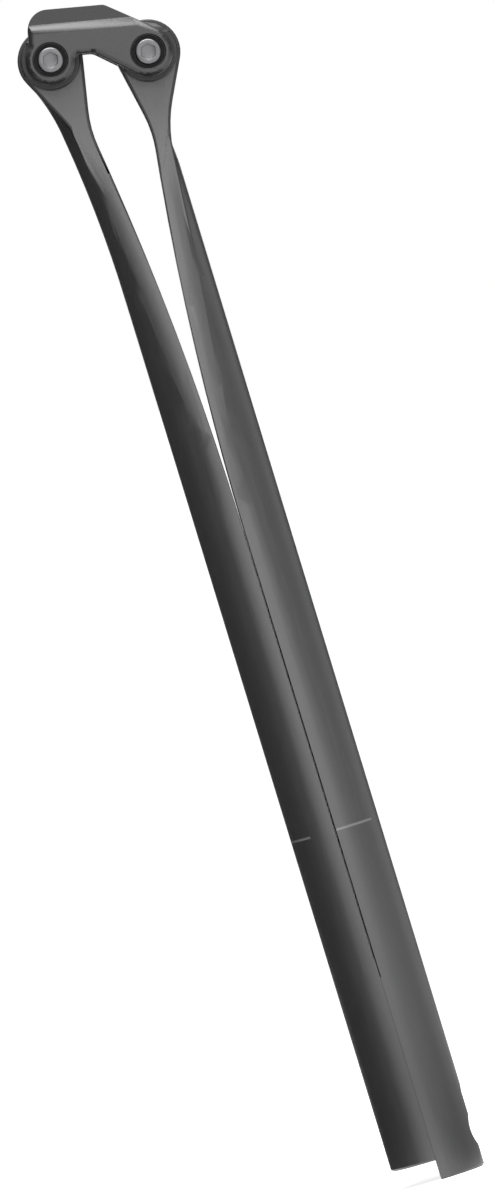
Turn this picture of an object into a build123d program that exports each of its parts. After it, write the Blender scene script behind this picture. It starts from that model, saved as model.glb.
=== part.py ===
from build123d import *
import os
from math import acos, asin, atan2, cos, degrees, hypot, radians, sin, sqrt, tan

# A bicycle seatpost whose round shank is split lengthwise into two carbon leaf springs.
# Each leaf ends in an eye, and two cross bolts through the eyes hold a saddle-rail clamp.
# Millimetres. +Z runs up the shank, +X is the bicycle's front, +Y its left side.
# The origin is on the shank's axis at the lower end of the front leaf.

# Shank and leaves; heights on a leaf are above its own lower end
SHANK_D = 27.2          # standard seat tube bore
LEAF_WALL = 2.5         # wall of the hollow shank
HOLLOW_TOP = 190.0      # blind end of the hollow
SLIT = 0.2              # gap between the leaves above their touching land
LAND_TOP = 63.0         # top of the land where the leaves touch
ROUND_TOP = 200.0       # top of the true round
SPREAD_LEAD = 1.0       # the inner faces begin to part this far below it
BAR_GROWTH = 0.1        # the crowned bar above it ends this much larger in radius
SLIDE = 6.0             # the rear leaf sits this much higher, which sets the clamp's tilt
FOOT_CHAMFER = 0.6

# Leaf necks and eyes; a drop is measured down from the eye's centre
EYE_X = 14.25           # eye centre from the slit plane
EYE_Z = 346.4
EYE_R = 9.75
EYE_WIDTH = 17.5        # across the flat sides
INNER_LEAN = 11.0       # inner edge below the eye, degrees from upright
OUTER_LEAN = 27.0       # outer edge below the eye, degrees from upright
NECK_THICK = 4.8        # from the shank's outer edge to the corner of the inner neck
INNER_NECK_R = 35.0
SIDE_LEAD = 0.3         # the bar's drawn-in sides start this far outside the round
SIDE_DRAW = 0.76        # they draw in by this for each millimetre that the inner face moves out
OUTER_NECK_R = 40.0
FRONT_BAR_DROP = 23.7   # top of the front leaf's crowned bar
FRONT_ROOT = (3.6, 66.4)  # root of the front lug's flat face: depth under the round, drop
REAR_LEAN = 7.9         # rear leaf's outer edge between its two bends, degrees from upright
REAR_BEND_R = 380.0     # first, gentle bend
REAR_STRAIGHT = 0.6     # between the bends
REAR_NECK_R = 55.5      # second bend, into the line to the eye
REAR_BURY = 0.12        # how far the crowned face runs under the rear lug's flat face
REAR_ROOT = (3.65, 66.4)
REAR_KNEE_DROP = 24.5

# Base screw, its key hole and slot in the front leaf
BASE_HOLE_Z = 11.6      # key hole centre in the front leaf, screw height in the rear leaf
SLOT_TOP_Z = 22.3       # centre of the slot's upper end
SLOT_PLAY = 0.5
KEY_PLAY = 0.2
BASE_HEAD_R = 4.2
BASE_HEAD_H = 2.7
BASE_SOCKET = 3.0       # across flats
BASE_SOCKET_DEPTH = 1.8
BASE_WASHER_R = 4.9
BASE_WASHER_T = 1.0
BASE_NUT = (4.0, 9.0, 12.0)  # thickness, width, height
BASE_SCREW_TIP = 7.6    # length past the slit plane into the rear leaf

# Saddle-rail clamp, in the clamp's own frame: a along the bolts' line from rear to front,
# b square to it upwards, n outwards to either side from the middle of the post
RAIL_R = 3.5
RAIL_SPREAD = 22.0      # rail axis and parting face from the middle of the post
RAIL_B = 9.4            # rail axis above the bolts' line
PARTING_GAP = 0.6       # the outer jaw stands off the inner one by this, but for its heel
HEEL_B = -3.4           # top of the heel
BOSS_R = 7.4
JAW_BEVEL = (1.6, 1.0)  # bevel round the outer face: inwards, downwards
HOOD_REAR = -5.9
HOOD_TOP = 15.1
HOOD_FRONT = 17.2
HOOD_REAR_R = 6.0
HOOD_FRONT_R = 3.2
HOOD_REACH = 2.4        # the hood's tip lies this far inside the rail's axis
HOOD_CREST = 1.6        # width of the hood's level top
ROOF_SLOPE = 35.0       # degrees
ROOF_R = 4.0            # rounding between roof and outer face
ARCH_B = 1.1            # underside of the outer jaw between its bosses
ARCH_FRONT = 12.9
ARCH_REAR_R = 1.6
ARCH_FRONT_R = 3.2
INNER_BOSS_R = 8.8
INNER_PLATE = 13.0      # inner face of the plate between the inner jaw's bosses
INNER_TOP = 10.9
INNER_REAR = -5.0
INNER_FRONT = 20.5
INNER_ARCH_B = 1.6

# Fasteners and bushes of the clamp
BOLT_R = 2.5
BOLT_PLAY = 0.15        # bolt holes, on radius
BOLT_HEAD_R = 3.85
BOLT_HEAD_H = 4.2
BOLT_HEAD_CHAMFER = 0.4
BOLT_SOCKET = 4.0       # across flats
BOLT_SOCKET_DEPTH = 2.4
BOLT_SHORT = 0.6        # the bolt's tip ends this far inside its nut
BOLT_WASHER_R = 4.8
BOLT_WASHER_T = 0.8
SINK_WALL = 1.0         # outer jaw under the washer
SINK_PLAY = 0.2         # washer in its counterbore, on radius
SINK_CHAMFER = 0.4
NUT_FLATS = 8.0
NUT_H = 4.0
NUT_PLAY = 0.15         # across flats
SLEEVE_R = 5.0
SLEEVE_PLAY = 0.1       # bolt in sleeve and sleeve in washers, on radius
EYE_WASHER_R = 9.0
EYE_WASHER_T = 1.0

# Worked out from the above
SHANK_R = SHANK_D / 2
SPREAD_START = ROUND_TOP - SPREAD_LEAD
HALF_EYE = EYE_WIDTH / 2
SEAT = HALF_EYE + EYE_WASHER_T
TILT = atan2(SLIDE, 2 * EYE_X)
BOLT_SPACING = hypot(2 * EYE_X, SLIDE)
THROUGH = 4 * BOLT_SPACING   # long enough to pass right through the clamp
INNER_TANGENT = (
    EYE_X - EYE_R * cos(radians(INNER_LEAN)),
    EYE_Z - EYE_R * sin(radians(INNER_LEAN)),
)
OUTER_TANGENT = (
    EYE_X + EYE_R * cos(radians(OUTER_LEAN)),
    EYE_Z - EYE_R * sin(radians(OUTER_LEAN)),
)
SLOT_WIDTH = 2 * BOLT_R + SLOT_PLAY
KEY_HOLE_R = BASE_WASHER_R + KEY_PLAY
BOLT_HOLE_R = BOLT_R + BOLT_PLAY
SINK_R = BOLT_WASHER_R + SINK_PLAY
SINK_FLOOR = RAIL_SPREAD + PARTING_GAP + SINK_WALL
NUT_FLOOR = SINK_FLOOR + BOLT_WASHER_T
JAW_FACE = NUT_FLOOR + BOLT_HEAD_H
NECK = (
    SHANK_R - NECK_THICK,
    INNER_TANGENT[1] - (SHANK_R - NECK_THICK - INNER_TANGENT[0]) / tan(radians(INNER_LEAN)),
)
CLAMP = Plane(
    origin=(-EYE_X, 0, EYE_Z + SLIDE),
    x_dir=(cos(TILT), 0, -sin(TILT)),
    z_dir=(0, -1, 0),
)
ACROSS = (0, BOLT_SPACING)   # the two bolts' places along a: rear, front


def half_round(flat, radius=SHANK_R):
    """The leaf's D section, with its flat this far from the slit plane."""
    return Circle(radius) & Pos(flat + radius, 0) * Rectangle(2 * radius, 3 * radius)


def side_prism(outline, half_width):
    """A side-view outline carried straight across the post to both sides."""
    return extrude(Plane.XZ * outline, half_width, both=True)


def gap_outline():
    """Side view of the room between a leaf and the slit plane's far side, up to the eye."""
    low = SPREAD_START - SHANK_R
    past = -SHANK_R
    outline = make_face(
        [
            Line((past, low), (SLIT / 2, low)),
            Line((SLIT / 2, low), (SLIT / 2, SPREAD_START)),
            TangentArc((SLIT / 2, SPREAD_START), NECK, tangent=(0, 1)),
            Line(NECK, INNER_TANGENT),
            Line(INNER_TANGENT, (past, INNER_TANGENT[1])),
            Line((past, INNER_TANGENT[1]), (past, low)),
        ]
    )
    return fillet(outline.vertices().sort_by_distance(NECK)[0], INNER_NECK_R)


def drawn_side():
    """A round bar that bends outwards and across the post; its left face is a bar's left side."""
    out, up = NECK[0] - SLIT / 2, NECK[1] - SPREAD_START
    slant = hypot(1, SIDE_DRAW)
    bend_r = (out**2 + up**2) / (2 * out) / slant
    centre = (bend_r / slant, -bend_r * SIDE_DRAW / slant, SPREAD_START)
    turn = degrees(asin((EYE_Z - SPREAD_START) / bend_r))
    start = Pos(0, 0, SPREAD_START) * Circle(SHANK_R + SIDE_LEAD)
    return revolve(start, Axis(centre, (SIDE_DRAW, 1, 0)), turn)


def lug(root, knee_z):
    """Flat-sided end of a leaf: the eye and the taper below it, down into the crowned bar."""
    depth, drop = root
    start = (SHANK_R - depth, EYE_Z - drop)
    knee = (OUTER_TANGENT[0] - (OUTER_TANGENT[1] - knee_z) * tan(radians(OUTER_LEAN)), knee_z)
    past = -SHANK_R
    outline = make_face(
        [
            *FilletPolyline(start, knee, OUTER_TANGENT, radius=OUTER_NECK_R).edges(),
            ThreePointArc(OUTER_TANGENT, (EYE_X, EYE_Z + EYE_R), INNER_TANGENT),
            Line(INNER_TANGENT, (past, INNER_TANGENT[1])),
            Line((past, INNER_TANGENT[1]), (past, start[1])),
            Line((past, start[1]), start),
        ]
    )
    return side_prism(outline - gap_outline(), HALF_EYE)


def shank():
    """The hollow half-round part that goes into the frame, with the land near its foot."""
    body = extrude(half_round(0), LAND_TOP)
    body += Pos(0, 0, LAND_TOP) * extrude(half_round(SLIT / 2), ROUND_TOP - LAND_TOP)
    foot = body.edges().filter_by(GeomType.CIRCLE).group_by(Axis.Z)[0]
    body = chamfer(foot, FOOT_CHAMFER)
    inside = Circle(SHANK_R - LEAF_WALL)
    inside &= Pos(SLIT / 2 + LEAF_WALL + SHANK_R, 0) * Rectangle(2 * SHANK_R, 3 * SHANK_R)
    inside = fillet(inside.vertices(), LEAF_WALL / 2)
    return body - extrude(inside, HOLLOW_TOP)


def round_bar(top):
    """The crowned bar above the true round, growing by a hair up to a height."""
    end_r = SHANK_R + BAR_GROWTH
    side = Polyline((0, ROUND_TOP), (SHANK_R, ROUND_TOP), (end_r, top), (0, top), close=True)
    return Rot(0, 0, -90) * revolve(Plane.XZ * make_face(side), Axis.Z, 180)


def rear_bar():
    """Crowned bar of the rear leaf, bending out twice on the way to its eye."""
    bend = JernArc((0, 0), (0, 1), REAR_BEND_R, -REAR_LEAN)
    straight = Line(bend @ 1, bend @ 1 + REAR_STRAIGHT * (bend % 1))
    neck = JernArc(straight @ 1, straight % 1, REAR_NECK_R, REAR_LEAN - OUTER_LEAN)
    run_on = Line(neck @ 1, neck @ 1 + EYE_R * (neck % 1))
    # The bends sit where they end on the line to the eye, a little under the lug's flat face
    end_r = SHANK_R + BAR_GROWTH
    bury = REAR_BURY / cos(radians(OUTER_LEAN))
    reach = OUTER_TANGENT[0] - bury - end_r - (neck @ 1).X
    start_z = OUTER_TANGENT[1] - reach / tan(radians(OUTER_LEAN)) - (neck @ 1).Y
    path = Plane.XZ * Pos(end_r, start_z) * (bend + straight + neck + run_on)
    bent = sweep(Pos(0, 0, start_z) * half_round(0, end_r), path=path)
    # Cut off square to that line, through the middle of the eye
    eye = Plane(
        origin=(EYE_X, 0, EYE_Z),
        z_dir=(sin(radians(OUTER_LEAN)), 0, cos(radians(OUTER_LEAN))),
    )
    return round_bar(start_z) + split(bent, bisect_by=eye, keep=Keep.BOTTOM)


def leaf(bar, end):
    """One leaf in the front leaf's place: shank, crowned bar, flat-sided end and eye bore."""
    gap = side_prism(gap_outline(), 2 * SHANK_R)
    side = drawn_side()
    spring = bar - gap
    # The sides draw in no further than the eye's width
    middle = spring & Pos(0, 0, EYE_Z) * Box(4 * SHANK_R, EYE_WIDTH, 2 * EYE_Z)
    body = shank() + (spring & side & mirror(side, about=Plane.XZ)) + middle + end
    return body - Pos(EYE_X, 0, EYE_Z) * Rot(90, 0, 0) * Cylinder(SLEEVE_R, 2 * EYE_WIDTH)


def front_leaf():
    """Front leaf, whose slot lets the base screw slide and whose key hole lets its head in."""
    knee_z = OUTER_TANGENT[1] - (OUTER_TANGENT[0] - SHANK_R) / tan(radians(OUTER_LEAN))
    body = leaf(round_bar(EYE_Z - FRONT_BAR_DROP), lug(FRONT_ROOT, knee_z))
    key_hole = Pos(SHANK_R, 0, BASE_HOLE_Z) * Rot(0, 90, 0) * Cylinder(KEY_HOLE_R, SHANK_R)
    middle_z = (BASE_HOLE_Z + SLOT_TOP_Z) / 2
    slot = SlotCenterToCenter(SLOT_TOP_Z - BASE_HOLE_Z, SLOT_WIDTH, rotation=90)
    return body - key_hole - extrude(Plane.YZ * Pos(0, middle_z) * slot, 2 * SHANK_R)


def rear_leaf():
    """Rear leaf, a mirror image but for its bends, raised, with a hole for the base screw."""
    body = leaf(rear_bar(), lug(REAR_ROOT, EYE_Z - REAR_KNEE_DROP))
    body -= extrude(Plane.YZ * Pos(0, BASE_HOLE_Z) * Circle(SLOT_WIDTH / 2), 2 * LEAF_WALL)
    return Pos(0, 0, SLIDE) * mirror(body, about=Plane.YZ)


def tangent_point(point, centre, radius, side):
    """Where a line from a point touches a circle; side is +1 or -1."""
    away = atan2(point[1] - centre[1], point[0] - centre[0])
    span = acos(radius / hypot(point[0] - centre[0], point[1] - centre[1]))
    angle = away + side * span
    return (centre[0] + radius * cos(angle), centre[1] + radius * sin(angle))


def along_clamp(b, n):
    """The end-view plane in front of the clamp through a point: n to the right, b upwards."""
    return Plane(origin=(THROUGH / 2, b, n), x_dir=(0, 0, 1), z_dir=(-1, 0, 0))


def rail_groove():
    """Room for the saddle rail, in the right half of the clamp."""
    return extrude(along_clamp(RAIL_B, RAIL_SPREAD) * Circle(RAIL_R), THROUGH)


def disc(radius, low, high):
    """A round bar along n between two distances from the middle of the post."""
    return extrude(Pos(0, 0, low) * Circle(radius), high - low)


def ring(outer_r, hole_r, low, high):
    """A washer or sleeve along n."""
    return disc(outer_r, low, high) - disc(hole_r, low, high)


def hexagon(flats, low, high):
    """A six-sided bar along n with one corner upwards."""
    shape = RegularPolygon(flats / 2, 6, major_radius=False, rotation=90)
    return extrude(Pos(0, 0, low) * shape, high - low)


def outer_jaw_outline():
    """Side view of the outer jaw: two bosses, the arch between them and the hood above."""
    front = (BOLT_SPACING, 0)
    hood_front = (HOOD_FRONT, HOOD_TOP)
    hood_rear = (HOOD_REAR, HOOD_TOP)
    shoulder = (HOOD_REAR, sqrt(BOSS_R**2 - HOOD_REAR**2))
    arch_front = (ARCH_FRONT, ARCH_B)
    arch_rear = (sqrt(BOSS_R**2 - ARCH_B**2), ARCH_B)
    upper = tangent_point(hood_front, front, BOSS_R, -1)
    lower = tangent_point(arch_front, front, BOSS_R, 1)
    outline = make_face(
        [
            Line(shoulder, hood_rear),
            Line(hood_rear, hood_front),
            Line(hood_front, upper),
            ThreePointArc(upper, (BOLT_SPACING + BOSS_R, 0), lower),
            Line(lower, arch_front),
            Line(arch_front, arch_rear),
            ThreePointArc(arch_rear, (0, -BOSS_R), shoulder),
        ]
    )
    for corner, radius in (
        (hood_rear, HOOD_REAR_R),
        (hood_front, HOOD_FRONT_R),
        (arch_rear, ARCH_REAR_R),
        (arch_front, ARCH_FRONT_R),
        (shoulder, ARCH_REAR_R),
    ):
        outline = fillet(outline.vertices().sort_by_distance(corner)[0], radius)
    return outline


def outer_jaw_profile():
    """End view of the outer jaw in n and b: heel, parting face, hood tip, roof and outer face."""
    relief = RAIL_SPREAD + PARTING_GAP
    foot = -2 * BOSS_R
    tip = RAIL_SPREAD - HOOD_REACH
    ridge = tip + HOOD_CREST
    eave = (JAW_FACE, HOOD_TOP - (JAW_FACE - ridge) * tan(radians(ROOF_SLOPE)))
    profile = make_face(
        Polyline(
            (RAIL_SPREAD, foot),
            (RAIL_SPREAD, HEEL_B),
            (relief, HEEL_B + PARTING_GAP),
            (relief, RAIL_B),
            (tip, RAIL_B),
            (tip, HOOD_TOP),
            (ridge, HOOD_TOP),
            eave,
            (JAW_FACE, foot),
            close=True,
        )
    )
    return fillet(profile.vertices().sort_by_distance(eave)[0], ROOF_R)


def outer_jaw(sink):
    """A right outer jaw whose bolt holes end in this recess."""
    block = extrude(Pos(0, 0, INNER_PLATE) * outer_jaw_outline(), JAW_FACE - INNER_PLATE)
    face = block.faces().sort_by(Axis.Z)[-1]
    block = chamfer(face.edges(), *JAW_BEVEL, reference=face)
    profile = extrude(along_clamp(0, 0) * outer_jaw_profile(), THROUGH)
    body = (block & profile) - rail_groove()
    for a in ACROSS:
        body -= Pos(a, 0, 0) * (disc(BOLT_HOLE_R, 0, JAW_FACE) + sink)
    return body


def round_sink():
    """Counterbore for a bolt head and its washer, with a chamfered rim."""
    rim = Cone(SINK_R, SINK_R + SINK_CHAMFER, SINK_CHAMFER, align=(Align.CENTER, Align.CENTER, Align.MAX))
    return disc(SINK_R, SINK_FLOOR, JAW_FACE) + Pos(0, 0, JAW_FACE) * rim


def hex_sink():
    """Six-sided pocket that keeps a nut from turning."""
    return hexagon(NUT_FLATS + NUT_PLAY, NUT_FLOOR, JAW_FACE)


def inner_jaw():
    """The right inner jaw: two bosses against the eye washers and the plate with the rail groove."""
    top_front = (INNER_FRONT, INNER_TOP)
    plate = make_face(
        Polyline(
            (INNER_REAR, INNER_ARCH_B),
            (INNER_REAR, INNER_TOP),
            top_front,
            tangent_point(top_front, (BOLT_SPACING, 0), INNER_BOSS_R, -1),
            (BOLT_SPACING, INNER_ARCH_B),
            close=True,
        )
    )
    body = extrude(Pos(0, 0, INNER_PLATE) * plate, RAIL_SPREAD - INNER_PLATE)
    for a in ACROSS:
        body += Pos(a, 0, 0) * disc(INNER_BOSS_R, SEAT, RAIL_SPREAD)
    for a in ACROSS:
        body -= Pos(a, 0, 0) * disc(BOLT_HOLE_R, 0, JAW_FACE)
    return body - rail_groove()


def clamp_bolt():
    """Socket-head bolt from the right outer jaw through the eye into the nut on the left."""
    head = disc(BOLT_HEAD_R, NUT_FLOOR, JAW_FACE)
    head = chamfer(head.edges().group_by(Axis.Z)[-1], BOLT_HEAD_CHAMFER)
    shaft = disc(BOLT_R, BOLT_SHORT - NUT_FLOOR - NUT_H, NUT_FLOOR)
    return head + shaft - hexagon(BOLT_SOCKET, JAW_FACE - BOLT_SOCKET_DEPTH, JAW_FACE)


def clamp_nut():
    """Nut in the left outer jaw's pocket."""
    return hexagon(NUT_FLATS, -NUT_FLOOR - NUT_H, -NUT_FLOOR) - disc(BOLT_R, -JAW_FACE, 0)


def base_place(shape):
    """Put a shape made along n onto the base screw's line, with n running forwards."""
    return Pos(0, 0, SLIDE + BASE_HOLE_Z) * Rot(0, 90, 0) * shape


def base_screw():
    """Screw that clamps the two leaves together near their feet."""
    seat = SLIT / 2 + LEAF_WALL + BASE_WASHER_T
    top = seat + BASE_HEAD_H
    body = disc(BASE_HEAD_R, seat, top) + disc(BOLT_R, -BASE_SCREW_TIP, seat)
    return base_place(body - hexagon(BASE_SOCKET, top - BASE_SOCKET_DEPTH, top))


def base_washer():
    """Washer between the base screw's head and the front leaf's inner wall."""
    low = SLIT / 2 + LEAF_WALL
    return base_place(ring(BASE_WASHER_R, BOLT_HOLE_R, low, low + BASE_WASHER_T))


def base_nut():
    """Block nut inside the rear leaf."""
    thick, wide, high = BASE_NUT
    middle = -SLIT / 2 - LEAF_WALL - thick / 2
    return base_place(Pos(0, 0, middle) * Box(high, wide, thick) - disc(BOLT_R, -SHANK_R, 0))


def left(solid):
    """The mirror image on the bicycle's left side."""
    return mirror(solid, about=Plane.XZ)


nodes = {
    "front_leaf": front_leaf(),
    "rear_leaf": rear_leaf(),
    "inner_jaw_right": CLAMP * inner_jaw(),
    "inner_jaw_left": left(CLAMP * inner_jaw()),
    "outer_jaw_right": CLAMP * outer_jaw(round_sink()),
    "outer_jaw_left": left(CLAMP * outer_jaw(hex_sink())),
    "base_screw": base_screw(),
    "base_washer": base_washer(),
    "base_nut": base_nut(),
}
for end, a in zip(("rear", "front"), ACROSS):
    place = CLAMP * Pos(a, 0, 0)
    eye_washer = place * ring(EYE_WASHER_R, SLEEVE_R + SLEEVE_PLAY, HALF_EYE, SEAT)
    nodes[f"{end}_eye_sleeve"] = place * ring(SLEEVE_R, BOLT_R + SLEEVE_PLAY, -SEAT, SEAT)
    nodes[f"{end}_eye_washer_right"] = eye_washer
    nodes[f"{end}_eye_washer_left"] = left(eye_washer)
    nodes[f"{end}_clamp_bolt"] = place * clamp_bolt()
    nodes[f"{end}_bolt_washer"] = place * ring(BOLT_WASHER_R, BOLT_HOLE_R, SINK_FLOOR, NUT_FLOOR)
    nodes[f"{end}_clamp_nut"] = place * clamp_nut()

os.makedirs("parts", exist_ok=True)
for name, solid in nodes.items():
    export_step(solid, f"parts/{name}.step")
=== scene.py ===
import math
import bmesh
import bpy
from mathutils import Matrix, Vector


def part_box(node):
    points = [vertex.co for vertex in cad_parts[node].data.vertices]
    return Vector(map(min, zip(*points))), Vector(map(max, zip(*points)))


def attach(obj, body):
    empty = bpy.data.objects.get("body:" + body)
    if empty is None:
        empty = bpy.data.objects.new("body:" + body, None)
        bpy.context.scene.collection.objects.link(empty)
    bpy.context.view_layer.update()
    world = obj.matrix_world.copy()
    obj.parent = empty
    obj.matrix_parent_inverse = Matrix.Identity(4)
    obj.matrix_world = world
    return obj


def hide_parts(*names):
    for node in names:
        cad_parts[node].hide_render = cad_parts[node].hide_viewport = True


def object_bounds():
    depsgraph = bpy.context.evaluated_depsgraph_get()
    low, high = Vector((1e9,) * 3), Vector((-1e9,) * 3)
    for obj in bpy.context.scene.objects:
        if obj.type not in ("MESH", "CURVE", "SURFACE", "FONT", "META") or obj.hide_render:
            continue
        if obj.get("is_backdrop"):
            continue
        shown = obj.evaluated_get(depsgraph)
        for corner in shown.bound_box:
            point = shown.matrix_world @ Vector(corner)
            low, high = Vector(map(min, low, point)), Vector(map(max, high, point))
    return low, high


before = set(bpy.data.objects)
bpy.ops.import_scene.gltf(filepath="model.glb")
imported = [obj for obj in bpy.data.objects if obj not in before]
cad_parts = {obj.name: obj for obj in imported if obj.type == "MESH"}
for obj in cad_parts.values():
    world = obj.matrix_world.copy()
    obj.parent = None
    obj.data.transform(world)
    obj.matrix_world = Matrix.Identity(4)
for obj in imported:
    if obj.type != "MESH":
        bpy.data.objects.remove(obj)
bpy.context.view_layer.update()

# The two leaves: half-round carbon springs, laid up with the fibres along the post, cured in a
# mould and lacquered satin. Their trimmed edges are eased and coloured near black, painted shade
# for their dark outlines and the dark slit. Fine printed lines on the right side mark the least
# depth in the seat tube.
LUG_EDGE = 0.0009                    # rounding of the lugs' edges
SLIT_SHARE, LAND_SHARE = 0.24, 0.06  # how much of it the slit and the touching land get
LAND_TOP = 0.066
LUG_FROM, LUG_FULL = 0.290, 0.330    # it grows to the full between these heights
BARS_FROM, BAR_SIDE = 0.262, 0.0085  # the bars' drawn-in sides lie above and outside these
JOIN = 1e-6                          # points closer than this are one
FLAT = 0.5                           # degrees; faces that turn less are one
SHARP_FADE = 15                      # degrees past the limit before an edge is rounded fully
LEAF_SMOOTH, PIECE_SMOOTH = 24, 40   # degrees; sharper edges stay crisp
MARK_Z, MARK_HALF = 0.10875, 0.00035
REAR_MARK = (-0.01065, 0.00285)      # middle and half length along x
FRONT_MARK = (0.0058, 0.0055)
FIBRES = (1500, 1500, 22)
CARBON_DARK = (0.020, 0.020, 0.0205, 1)
CARBON_LIGHT = (0.031, 0.031, 0.0315, 1)
MARK_GREY = (0.13, 0.13, 0.13, 1)


def new_finish(name):
    """A node material, with its node tree and shader."""
    finish = bpy.data.materials.new(name)
    finish.use_nodes = True
    return finish, finish.node_tree, finish.node_tree.nodes["Principled BSDF"]


def add(tree, kind, *links, **settings):
    """Add a node, set its values and link its first inputs in order; None leaves one unlinked."""
    node = tree.nodes.new(kind)
    for key, value in settings.items():
        setattr(node, key, value)
    for socket, source in zip(node.inputs, links):
        if isinstance(source, bpy.types.NodeSocket):
            tree.links.new(source, socket)
        elif source is not None:
            socket.default_value = source
    return node


def reckon(tree, operation, *values):
    """The result of a sum on the surface."""
    return add(tree, "ShaderNodeMath", *values, operation=operation).outputs[0]


def grain(tree, scale, low, high):
    """Noise at this scale in the model's own place, stretched between two values."""
    place = add(tree, "ShaderNodeTexCoord").outputs["Object"]
    sized = add(tree, "ShaderNodeMapping", place, None, None, scale).outputs[0]
    noise = add(tree, "ShaderNodeTexNoise", sized).outputs["Fac"]
    return add(tree, "ShaderNodeMapRange", noise, 0.3, 0.7, low, high).outputs[0]


def even(scale):
    """The same scale along all three axes."""
    return (scale, scale, scale)


def shades(tree, shader, share, dark, light):
    """Colour the shader between two shades by a share from 0 to 1."""
    mixed = add(tree, "ShaderNodeValToRGB", share)
    mixed.color_ramp.elements[0].color = dark
    mixed.color_ramp.elements[1].color = light
    tree.links.new(mixed.outputs[0], shader.inputs["Base Color"])
    return mixed.outputs[0]


def roughen(tree, shader, value, height, depth):
    """Give the shader a roughness and small bumps of this depth from two noises."""
    tree.links.new(value, shader.inputs["Roughness"])
    bump = add(tree, "ShaderNodeBump")
    bump.inputs["Distance"].default_value = depth
    tree.links.new(height, bump.inputs["Height"])
    tree.links.new(bump.outputs[0], shader.inputs["Normal"])


def same_hands(piece):
    """Mirror a leaf's right half to the left, so that both hands are alike."""
    bpy.ops.object.mode_set(mode="EDIT")
    bpy.ops.mesh.select_all(action="SELECT")
    bpy.ops.mesh.bisect(plane_co=(0, 0, 0), plane_no=(0, 1, 0), clear_outer=True, threshold=JOIN)
    bpy.ops.object.mode_set(mode="OBJECT")
    other = piece.modifiers.new("other_hand", "MIRROR")
    other.use_axis = (False, True, False)
    other.merge_threshold = 2 * JOIN
    bpy.ops.object.modifier_apply(modifier="other_hand")


def smooth_bars(piece, source):
    """Shade a leaf's drawn-in sides as the CAD node is shaded, which is even there."""
    bars = piece.vertex_groups.new(name="bar_sides")
    for corner in piece.data.vertices:
        if corner.co.z > BARS_FROM and abs(corner.co.y) > BAR_SIDE:
            bars.add([corner.index], 1, "REPLACE")
    normals = piece.modifiers.new("as_modelled", "DATA_TRANSFER")
    normals.vertex_group = bars.name
    normals.object = source
    normals.use_loop_data = True
    normals.data_types_loops = {"CUSTOM_NORMAL"}
    normals.loop_mapping = "POLYINTERP_LNORPROJ"
    bpy.ops.object.modifier_apply(modifier="as_modelled")


def eased_copy(name, finish, radius, share, sharper_than=60, edge_shade_finish=None):
    """A copy of a CAD node with its sharp convex edges rounded over; it stands for the node.

    share takes an edge's middle and gives how much of the radius it gets. Edges that are hardly
    sharper than the limit get less. Only the leaves' rounded edges get a colour: painted shade."""
    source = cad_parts[name]
    bpy.ops.object.select_all(action="DESELECT")
    piece = source.copy()
    piece.data = source.data.copy()
    piece.name = name + "_eased"
    bpy.context.scene.collection.objects.link(piece)
    piece.data.materials[0] = finish
    if edge_shade_finish:
        piece.data.materials.append(edge_shade_finish)
    piece.select_set(True)
    bpy.context.view_layer.objects.active = piece
    bpy.ops.mesh.customdata_custom_splitnormals_clear()
    bpy.ops.object.mode_set(mode="EDIT")
    bpy.ops.mesh.select_all(action="SELECT")
    bpy.ops.mesh.remove_doubles(threshold=JOIN)
    bpy.ops.mesh.dissolve_limited(angle_limit=math.radians(FLAT))
    shape = bmesh.from_edit_mesh(piece.data)
    weight = shape.edges.layers.float.new("bevel_weight_edge")
    for edge in shape.edges:
        over = math.degrees(edge.calc_face_angle()) - sharper_than
        if edge.is_convex and over > 0:
            middle = (edge.verts[0].co + edge.verts[1].co) / 2
            edge[weight] = min(over / SHARP_FADE, 1) * share(middle)
    bmesh.update_edit_mesh(piece.data)
    bpy.ops.object.mode_set(mode="OBJECT")
    bevel = piece.modifiers.new("eased", "BEVEL")
    bevel.width = radius
    bevel.segments = 3
    bevel.limit_method = "WEIGHT"
    bevel.use_clamp_overlap = False
    bevel.material = 1 if edge_shade_finish else -1
    bpy.ops.object.modifier_apply(modifier="eased")
    if edge_shade_finish:
        same_hands(piece)
    smooth = LEAF_SMOOTH if edge_shade_finish else PIECE_SMOOTH
    bpy.ops.object.shade_smooth_by_angle(angle=math.radians(smooth))
    normals = piece.modifiers.new("weighted", "WEIGHTED_NORMAL")
    normals.keep_sharp = True
    bpy.ops.object.modifier_apply(modifier="weighted")
    if edge_shade_finish:
        smooth_bars(piece, source)
    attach(piece, "root")
    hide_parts(name)


carbon, tree, shader = new_finish("satin_carbon")
tone = shades(tree, shader, grain(tree, FIBRES, 0.0, 1.0), CARBON_DARK, CARBON_LIGHT)
place = add(tree, "ShaderNodeTexCoord").outputs["Object"]
split = add(tree, "ShaderNodeSeparateXYZ", place)
height = reckon(tree, "COMPARE", split.outputs["Z"], MARK_Z, MARK_HALF)
side = reckon(tree, "LESS_THAN", split.outputs["Y"], 0.0)
rear = reckon(tree, "COMPARE", split.outputs["X"], *REAR_MARK)
front = reckon(tree, "COMPARE", split.outputs["X"], *FRONT_MARK)
width = reckon(tree, "ADD", rear, front)
mark = reckon(tree, "MULTIPLY", height, side)
mark = reckon(tree, "MULTIPLY", mark, width)
printed = add(tree, "ShaderNodeMix", mark, data_type="RGBA")
tree.links.new(tone, printed.inputs[6])
printed.inputs[7].default_value = MARK_GREY
tree.links.new(printed.outputs[2], shader.inputs["Base Color"])
lacquer = grain(tree, FIBRES, 0.34, 0.40)
roughen(tree, shader, lacquer, grain(tree, (700, 700, 500), 0.0, 1.0), 0.000004)
shader.inputs["Specular IOR Level"].default_value = 1.0

# Near-black colour for the leaves' rounded edges: painted shade for their dark outlines and the
# dark slit between them.
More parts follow.
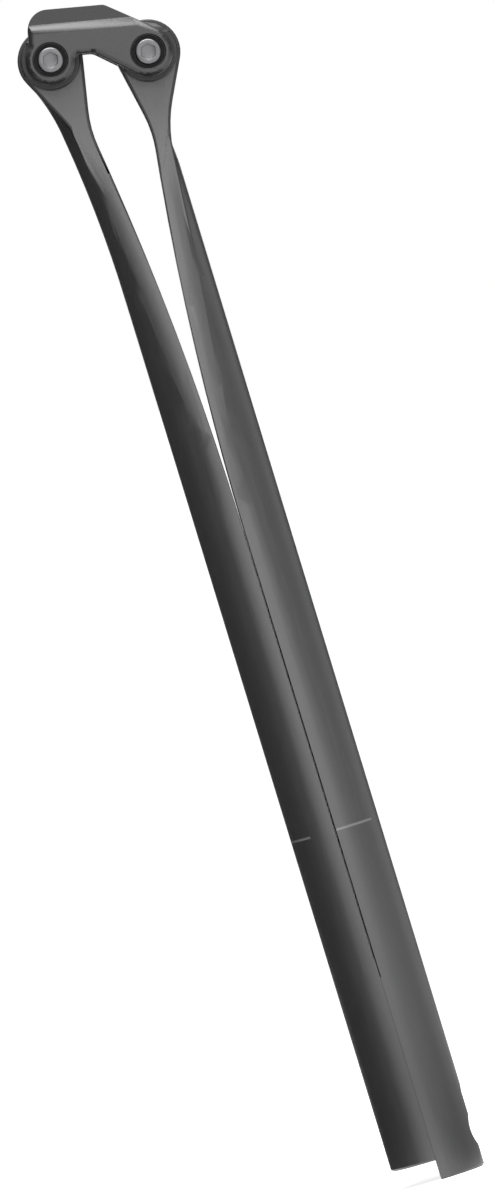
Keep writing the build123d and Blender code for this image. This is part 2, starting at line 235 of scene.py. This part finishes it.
edge_shade, tree, shader = new_finish("painted_edge_shade")
edge_shade_grain = grain(tree, (900, 900, 300), 0.0, 1.0)
shades(tree, shader, edge_shade_grain, (0.006, 0.006, 0.006, 1), (0.012, 0.012, 0.012, 1))
edge_shade_roughness = grain(tree, (900, 900, 300), 0.42, 0.5)
roughen(tree, shader, edge_shade_roughness, grain(tree, (2500, 2500, 800), 0.0, 1.0), 0.000006)


def leaf_share(middle):
    """Edges are hardly eased where the leaves touch, a little at the slit, fully at the lugs."""
    if middle.z < LAND_TOP:
        return LAND_SHARE
    grown = (middle.z - LUG_FROM) / (LUG_FULL - LUG_FROM)
    return SLIT_SHARE + (1 - SLIT_SHARE) * min(max(grown, 0), 1)


for name in ("front_leaf", "rear_leaf"):
    eased_copy(name, carbon, LUG_EDGE, leaf_share, 60, edge_shade)

# The screw that clamps the leaves near their feet: a stainless socket screw with a low head, cold
# headed, with a rolled thread. It runs through the front leaf's slot into the nut in the rear leaf.
STEEL_DARK = (0.095, 0.095, 0.098, 1)
STEEL_LIGHT = (0.13, 0.13, 0.133, 1)
BASE_HEAD_R, BASE_HEAD_H = 0.0042, 0.0027
BASE_SOCKET, BASE_SOCKET_DEPTH = 0.003, 0.0018
BASE_THREADED = 0.0064
SHAFT_R = 0.0025
THREAD_PITCH = 0.0008
THREAD_DEPTH = 0.00045
HEAD_RIM = 0.00045
TIP_CHAMFER = 0.0003
SOCKET_RIM = 0.0002
SOCKET_CORNER = 0.6      # share of the socket's width that reaches just past its corners
DRILL_POINT = 0.1        # share of the socket's width by which its floor is dished
ROUND_SIDES = 48
SCREW_SMOOTH = 35        # degrees
steel, tree, shader = new_finish("satin_steel")
shades(tree, shader, grain(tree, even(1800), 0.0, 1.0), STEEL_DARK, STEEL_LIGHT)
brushed = grain(tree, even(3000), 0.24, 0.36)
roughen(tree, shader, brushed, grain(tree, even(5000), 0.0, 1.0), 0.000002)
shader.inputs["Metallic"].default_value = 1.0


def pick(piece, kind, test):
    """Select just the faces or edges of a piece in edit mode that pass a test."""
    bpy.ops.mesh.select_all(action="DESELECT")
    bpy.ops.mesh.select_mode(type="FACE" if kind == "faces" else "EDGE")
    shape = bmesh.from_edit_mesh(piece.data)
    for element in getattr(shape, kind):
        if test(element):
            element.select_set(True)
    bmesh.update_edit_mesh(piece.data)


def lies_at(edge, y):
    """Whether both ends of an edge lie at this y."""
    return all(abs(corner.co.y - y) < JOIN for corner in edge.verts)


def faces_to(face, y, way):
    """Whether a face lies at this y and looks along y this way."""
    return abs(face.calc_center_median().y - y) < JOIN and face.normal.y * way > 0.99


def off_axis(edge):
    """Distance of an edge's further end from the y axis."""
    return max(math.hypot(corner.co.x, corner.co.z) for corner in edge.verts)


def bar(sides, radius, low, high, tilt=0.0):
    """A new round or many-sided bar along y through the origin; a six-sided one has a corner up."""
    bpy.ops.object.mode_set(mode="OBJECT")
    bpy.ops.object.select_all(action="DESELECT")
    bpy.ops.mesh.primitive_cylinder_add(
        vertices=sides, radius=radius, depth=high - low,
        location=(0, (low + high) / 2, 0), rotation=(math.pi / 2, tilt, 0),
    )
    bpy.ops.object.transform_apply(location=True, rotation=True, scale=True)
    return bpy.context.object


def cut(piece, tool, operation):
    """Cut one piece with another, which is used up."""
    boolean = piece.modifiers.new("cut", "BOOLEAN")
    boolean.operation = operation
    boolean.object = tool
    boolean.solver = "EXACT"
    bpy.ops.object.select_all(action="DESELECT")
    piece.select_set(True)
    bpy.context.view_layer.objects.active = piece
    bpy.ops.object.modifier_apply(modifier="cut")
    bpy.data.objects.remove(tool)


def settle(piece, name, node, finish):
    """Shade a finished piece, give it its finish and let it stand for a CAD node."""
    bpy.ops.object.select_all(action="DESELECT")
    piece.select_set(True)
    bpy.context.view_layer.objects.active = piece
    bpy.ops.object.transform_apply(location=True, rotation=True, scale=True)
    bpy.ops.object.shade_smooth_by_angle(angle=math.radians(SCREW_SMOOTH))
    piece.name = name
    piece.data.materials.clear()
    piece.data.materials.append(finish)
    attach(piece, "root")
    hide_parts(node)


def grow(step):
    """Extrude the picked faces along y."""
    bpy.ops.mesh.extrude_region_move(TRANSFORM_OT_translate={"value": (0, step, 0)})


def socket_screw(head_r, head_h, length, threaded, socket, depth, tilt):
    """A socket screw along y with its head's face at the origin, looking along -y."""
    screw = bar(ROUND_SIDES, head_r, 0, head_h)
    bpy.ops.object.mode_set(mode="EDIT")
    pick(screw, "edges", lambda edge: lies_at(edge, 0))
    bpy.ops.mesh.bevel(offset=HEAD_RIM, segments=3, affect="EDGES")
    pick(screw, "faces", lambda face: faces_to(face, head_h, 1))
    bpy.ops.mesh.inset(thickness=head_r - SHAFT_R)
    grow(length - threaded)
    root = 1 - THREAD_DEPTH / SHAFT_R
    for turn in range(round(threaded / THREAD_PITCH)):
        for size in (root, 1 / root):
            grow(THREAD_PITCH / 2)
            bpy.ops.transform.resize(value=(size, 1, size), center_override=(0, 0, 0))
    bpy.ops.mesh.bevel(offset=TIP_CHAMFER, segments=1, affect="EDGES")
    cut(screw, bar(6, socket / math.sqrt(3), -depth, depth, tilt), "DIFFERENCE")
    bpy.ops.object.mode_set(mode="EDIT")
    reach = socket * SOCKET_CORNER
    pick(screw, "edges", lambda edge: lies_at(edge, 0) and off_axis(edge) < reach)
    bpy.ops.mesh.bevel(offset=SOCKET_RIM, segments=2, affect="EDGES")
    pick(screw, "faces", lambda face: faces_to(face, depth, -1))
    bpy.ops.mesh.poke(offset=-DRILL_POINT * socket)
    bpy.ops.object.mode_set(mode="OBJECT")
    return screw


low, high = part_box("base_screw")
middle = (Vector(low) + Vector(high)) / 2
length = high[0] - low[0] - BASE_HEAD_H
screw = socket_screw(
    BASE_HEAD_R, BASE_HEAD_H, length, BASE_THREADED, BASE_SOCKET, BASE_SOCKET_DEPTH, 0
)
screw.rotation_euler = (0, 0, math.pi / 2)
screw.location = (high[0], middle.y, middle.z)
settle(screw, "base_socket_screw", "base_screw", steel)

# Its washer is stamped from stainless sheet, with the burr taken off. It lies on the front leaf's
# inner wall round the slot, under the screw's head.
STAMPED_EDGE = 0.0001


def all_round(middle):
    """Every edge gets the full rounding."""
    return 1.0


eased_copy("base_washer", steel, STAMPED_EDGE, all_round)

# The block nut inside the rear leaf, milled from aluminium bar with fine cutter lines along it.
# The screw draws it against the leaf's inner wall.
ALUMINIUM_DARK = (0.42, 0.42, 0.43, 1)
ALUMINIUM_LIGHT = (0.56, 0.56, 0.57, 1)
CUTTER_LINES = (300, 6000, 300)
BLOCK_EDGE = 0.0004
turned, tree, shader = new_finish("turned_aluminium")
shades(tree, shader, grain(tree, CUTTER_LINES, 0.0, 1.0), ALUMINIUM_DARK, ALUMINIUM_LIGHT)
machined = grain(tree, CUTTER_LINES, 0.28, 0.42)
roughen(tree, shader, machined, grain(tree, CUTTER_LINES, 0.0, 1.0), 0.000004)
shader.inputs["Metallic"].default_value = 1.0
eased_copy("base_nut", turned, BLOCK_EDGE, all_round)

# A sleeve in each eye carries the clamp bolt. It is turned from aluminium and pressed in, and a
# small chamfer breaks its ends.
SLEEVE_EDGE = 0.0002
for end in ("rear", "front"):
    eased_copy(f"{end}_eye_sleeve", turned, SLEEVE_EDGE, all_round)

# Black moulded discs on both sides of each eye keep the jaws off the carbon. They have the fine
# matt grain of their mould.
DISC_EDGE = 0.00025
moulded, tree, shader = new_finish("moulded_disc")
cast = grain(tree, even(700), 0.0, 1.0)
shades(tree, shader, cast, (0.016, 0.016, 0.016, 1), (0.024, 0.024, 0.024, 1))
matt = grain(tree, even(2200), 0.36, 0.46)
roughen(tree, shader, matt, grain(tree, even(4000), 0.0, 1.0), 0.000008)
for end in ("rear", "front"):
    for hand in ("right", "left"):
        eased_copy(f"{end}_eye_washer_{hand}", moulded, DISC_EDGE, all_round)

# The clamp's four jaws: forged aluminium, machined at the bolts, blasted to a fine even grain and
# anodised black, the inner pair duller. Their outlines are eased, and the bolts' seats keep the
# cutter's crisp rims.
ANODISED_DARK = (0.0095, 0.0095, 0.010, 1)
ANODISED_LIGHT = (0.0145, 0.0145, 0.015, 1)
BOLT_SEAT = 0.0062       # radius round a bolt within which edges stay crisp
INNER_EDGE, INNER_SHARP = 0.0004, 30   # rounding, and degrees from which edges get it
OUTER_EDGE, OUTER_SHARP = 0.0003, 45
bolts = []
for end in ("rear", "front"):
    low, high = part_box(f"{end}_clamp_bolt")
    bolts.append((Vector(low) + Vector(high)) / 2)


def anodised(name, smoothest, roughest, specular):
    """Black anodising over a blasted grain."""
    finish, tree, shader = new_finish(name)
    shades(tree, shader, grain(tree, even(500), 0.0, 1.0), ANODISED_DARK, ANODISED_LIGHT)
    blasted = grain(tree, even(2500), smoothest, roughest)
    roughen(tree, shader, blasted, grain(tree, even(6000), 0.0, 1.0), 0.000003)
    shader.inputs["Specular IOR Level"].default_value = specular
    return finish


def outline_share(middle):
    """Edges round the bolts' seats stay as they are."""
    apart = min(math.hypot(middle.x - bolt.x, middle.z - bolt.z) for bolt in bolts)
    return 1.0 if apart > BOLT_SEAT else 0.0


satin_black = anodised("black_anodised", 0.25, 0.33, 0.56)
dull_black = anodised("dull_anodised", 0.36, 0.44, 0.38)
for hand in ("right", "left"):
    eased_copy(f"inner_jaw_{hand}", dull_black, INNER_EDGE, all_round, INNER_SHARP)
    eased_copy(f"outer_jaw_{hand}", satin_black, OUTER_EDGE, outline_share, OUTER_SHARP)

# Socket-head bolts from the right outer jaw through the eyes: cold-headed stainless steel with a
# rounded rim, a drilled socket and a rolled thread at the far end.
BOLT_HEAD_R, BOLT_HEAD_H = 0.00385, 0.0042
BOLT_SOCKET, BOLT_SOCKET_DEPTH = 0.004, 0.0024
BOLT_THREADED = 0.016
low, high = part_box("rear_clamp_bolt")
tilt = math.atan2(bolts[0].z - bolts[1].z, bolts[1].x - bolts[0].x)
length = high[1] - low[1] - BOLT_HEAD_H
screw = socket_screw(
    BOLT_HEAD_R, BOLT_HEAD_H, length, BOLT_THREADED, BOLT_SOCKET, BOLT_SOCKET_DEPTH, tilt
)
for end, bolt in zip(("rear", "front"), bolts):
    copy = screw.copy()
    copy.data = screw.data.copy()
    bpy.context.scene.collection.objects.link(copy)
    copy.location = (bolt.x, low[1], bolt.z)
    settle(copy, f"{end}_socket_bolt", f"{end}_clamp_bolt", steel)
bpy.data.objects.remove(screw)

# Their washers are punched from steel and coloured near black, painted shade for the dark rings
# round the bolts' heads. They lie deep in the counterbores, under the heads.
# Near-black steel: painted shade for the dark rings in the counterbores round the bolt heads.
washer_shade, tree, shader = new_finish("painted_shade_steel")
washer_shade_grain = grain(tree, even(900), 0.0, 1.0)
shades(tree, shader, washer_shade_grain, (0.005, 0.005, 0.005, 1), (0.009, 0.009, 0.009, 1))
punched = grain(tree, even(2000), 0.35, 0.48)
roughen(tree, shader, punched, grain(tree, even(4000), 0.0, 1.0), 0.000004)
shader.inputs["Metallic"].default_value = 0.6
for end in ("rear", "front"):
    eased_copy(f"{end}_bolt_washer", washer_shade, STAMPED_EDGE, all_round)

# The nuts in the left outer jaw's six-sided pockets: stainless, with chamfered corners and a
# countersunk bore.
NUT_FLATS = 0.008
NUT_CORNER = 0.0005
NUT_SINK = 0.0003
NUT_SIDES = 64           # of the round bar that takes off the corners
low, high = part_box("rear_clamp_nut")
thick = high[1] - low[1]
nut = bar(6, NUT_FLATS / math.sqrt(3), 0, thick, tilt)
rounding = bar(NUT_SIDES, NUT_FLATS / math.sqrt(3), 0, thick)


def at_an_end(edge):
    """Whether an edge lies on one of the nut's two end faces."""
    return lies_at(edge, 0) or lies_at(edge, thick)


bpy.ops.object.mode_set(mode="EDIT")
pick(rounding, "edges", at_an_end)
bpy.ops.mesh.bevel(offset=NUT_CORNER, segments=1, affect="EDGES")
bpy.ops.object.mode_set(mode="OBJECT")
cut(nut, rounding, "INTERSECT")
cut(nut, bar(ROUND_SIDES, SHAFT_R, -thick, 2 * thick), "DIFFERENCE")
bpy.ops.object.mode_set(mode="EDIT")
pick(nut, "edges", lambda edge: at_an_end(edge) and off_axis(edge) < 1.1 * SHAFT_R)
bpy.ops.mesh.bevel(offset=NUT_SINK, segments=1, affect="EDGES")
bpy.ops.object.mode_set(mode="OBJECT")
for end, bolt in zip(("rear", "front"), bolts):
    copy = nut.copy()
    copy.data = nut.data.copy()
    bpy.context.scene.collection.objects.link(copy)
    copy.location = (bolt.x, low[1], bolt.z)
    settle(copy, f"{end}_hex_nut", f"{end}_clamp_nut", steel)
bpy.data.objects.remove(nut)

# Studio: a pale floor that keeps the post's shadow, and a white surround. The floor glows a little
# less round the post's foot.
FLOOR_SIZE = 60
FLOOR_GREY = (0.8, 0.8, 0.8, 1)
GLOW_FROM, GLOW_FULL = 0.05, 0.4       # distances from the post
FOOT_GLOW, FULL_GLOW = 0.8, 1.0
SURROUND_LIGHT = 0.15
bpy.context.scene.view_settings.view_transform = "Standard"
bpy.ops.object.select_all(action="DESELECT")
bpy.ops.mesh.primitive_plane_add(size=FLOOR_SIZE, location=(0, 0, 0))
floor = bpy.context.object
floor.name = "floor"


def white_when_seen(tree):
    """1 for rays from the camera and for reflected or refracted ones, otherwise 0."""
    path = add(tree, "ShaderNodeLightPath").outputs
    seen = reckon(tree, "MAXIMUM", path["Is Camera Ray"], path["Is Glossy Ray"])
    return reckon(tree, "MAXIMUM", seen, path["Is Transmission Ray"])


pale, tree, shader = new_finish("pale_floor")
tree.nodes.remove(shader)
place = add(tree, "ShaderNodeTexCoord").outputs["Object"]
away = add(tree, "ShaderNodeVectorMath", place, operation="LENGTH").outputs["Value"]
glow = add(tree, "ShaderNodeMapRange", away, GLOW_FROM, GLOW_FULL, FOOT_GLOW, FULL_GLOW).outputs[0]
glow = reckon(tree, "MULTIPLY", glow, white_when_seen(tree))
light = add(tree, "ShaderNodeEmission", None, glow).outputs[0]
matte = add(tree, "ShaderNodeBsdfDiffuse", FLOOR_GREY).outputs[0]
both = add(tree, "ShaderNodeAddShader", light, matte).outputs[0]
tree.links.new(both, tree.nodes["Material Output"].inputs[0])
floor.data.materials.append(pale)
floor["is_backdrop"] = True

surround = bpy.data.worlds.new("surround")
bpy.context.scene.world = surround
surround.use_nodes = True
tree = surround.node_tree
tree.nodes["Background"].inputs["Color"].default_value = (1, 1, 1, 1)
seen = white_when_seen(tree)
level = add(tree, "ShaderNodeMapRange", seen, 0.0, 1.0, SURROUND_LIGHT, 1.0).outputs[0]
tree.links.new(level, tree.nodes["Background"].inputs["Strength"])


# Lamps: a broad soft one on the camera's side, a little towards the post's front, and a second
# one above the head, which lights the clamp's roof edge.
def soft_lamp(name, place, aim, width, height, watts):
    """A rectangular soft lamp that shines at a point and isn't seen by the camera."""
    lamp = bpy.data.lights.new(name, "AREA")
    lamp.shape = "RECTANGLE"
    lamp.size = width
    lamp.size_y = height
    lamp.energy = watts
    holder = bpy.data.objects.new(name, lamp)
    bpy.context.scene.collection.objects.link(holder)
    holder.location = place
    holder.rotation_euler = (Vector(aim) - Vector(place)).to_track_quat("-Z", "Y").to_euler()
    holder.visible_camera = False


soft_lamp("front_lamp", (0.1, -1.2, 0.5), (0, 0, 0.25), 0.8, 1.2, 4.25)
soft_lamp("top_lamp", (0.08, -0.52, 1.03), (0, -0.02, 0.36), 0.7, 0.75, 15.5)

# Cards beside, above and below the post, from near black to pale grey, seen only in reflections.
# The dark ones draw dark edges on the black pieces, and the grey ones even out their sides.
LEFT_REACH, RIGHT_REACH = 0.9, 1.0     # distances of the upright cards from the post
LEFT_TOP, CARD_TOP = 0.85, 1.3
ON_FLOOR = 0.0005


def flat_card(name, corners, grey):
    """A flat card through four corners."""
    mesh = bpy.data.meshes.new(name)
    mesh.from_pydata(corners, [], [(0, 1, 2, 3)])
    card = bpy.data.objects.new(name, mesh)
    bpy.context.scene.collection.objects.link(card)
    finish, tree, shader = new_finish(name)
    tree.nodes.remove(shader)
    shine = add(tree, "ShaderNodeEmission", (grey, grey, grey, 1)).outputs[0]
    tree.links.new(shine, tree.nodes["Material Output"].inputs[0])
    mesh.materials.append(finish)
    card.visible_camera = False
    card.visible_diffuse = False
    card.visible_shadow = False
    card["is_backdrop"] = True


def upright_card(name, start, end, reach, top, grey):
    """A card from the floor up, between two turns in degrees from the camera's side."""
    points = []
    for turn in (start, end):
        angle = math.radians(turn)
        points.append((reach * math.sin(angle), -reach * math.cos(angle)))
    (ax, ay), (bx, by) = points
    flat_card(name, [(ax, ay, 0), (bx, by, 0), (bx, by, top), (ax, ay, top)], grey)


def level_card(name, low, high, z, grey):
    """A level card between two corners."""
    (ax, ay), (bx, by) = low, high
    flat_card(name, [(ax, ay, z), (bx, ay, z), (bx, by, z), (ax, by, z)], grey)


upright_card("left_card", -30, -100, LEFT_REACH, LEFT_TOP, 0.06)
upright_card("left_back_card", -100, -165, LEFT_REACH, CARD_TOP, 0.07)
upright_card("right_card", 48, 105, RIGHT_REACH, CARD_TOP, 0.45)
upright_card("right_side_card", 105, 140, RIGHT_REACH, CARD_TOP, 0.65)
upright_card("right_back_card", 140, 165, RIGHT_REACH, CARD_TOP, 0.05)
level_card("left_floor_card", (-0.9, -0.32), (-0.03, 0.5), ON_FLOOR, 0.05)
level_card("front_floor_card", (-0.03, -0.32), (0.15, -0.08), ON_FLOOR, 0.08)
level_card("right_floor_card", (0.03, -0.08), (0.3, 0.3), ON_FLOOR, 0.35)
level_card("top_card", (-0.8, 0.05), (0.8, 1.2), CARD_TOP, 0.85)

# Camera: from the right side through a very long lens, rolled as the picture is. It stands a
# little lower than the clamp and a hair behind square, so the slit between the leaves looks dark.
PICTURE_HEIGHT = 0.3576
ROLL = -16.968
aim = Vector((-0.0049, 0, 0.18163))
spot = Vector((-0.05, -7.0, 0.30))
lens = bpy.data.cameras.new("side_view")
lens.sensor_width = 36
lens.lens = lens.sensor_width * (aim - spot).length / PICTURE_HEIGHT
lens.clip_end = 60
camera = bpy.data.objects.new("side_view", lens)
bpy.context.scene.collection.objects.link(camera)
camera.location = spot
level = (aim - spot).to_track_quat("-Z", "Y").to_matrix()
camera.rotation_euler = (level @ Matrix.Rotation(math.radians(ROLL), 3, "Z")).to_euler()
bpy.context.scene.camera = camera

low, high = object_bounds()
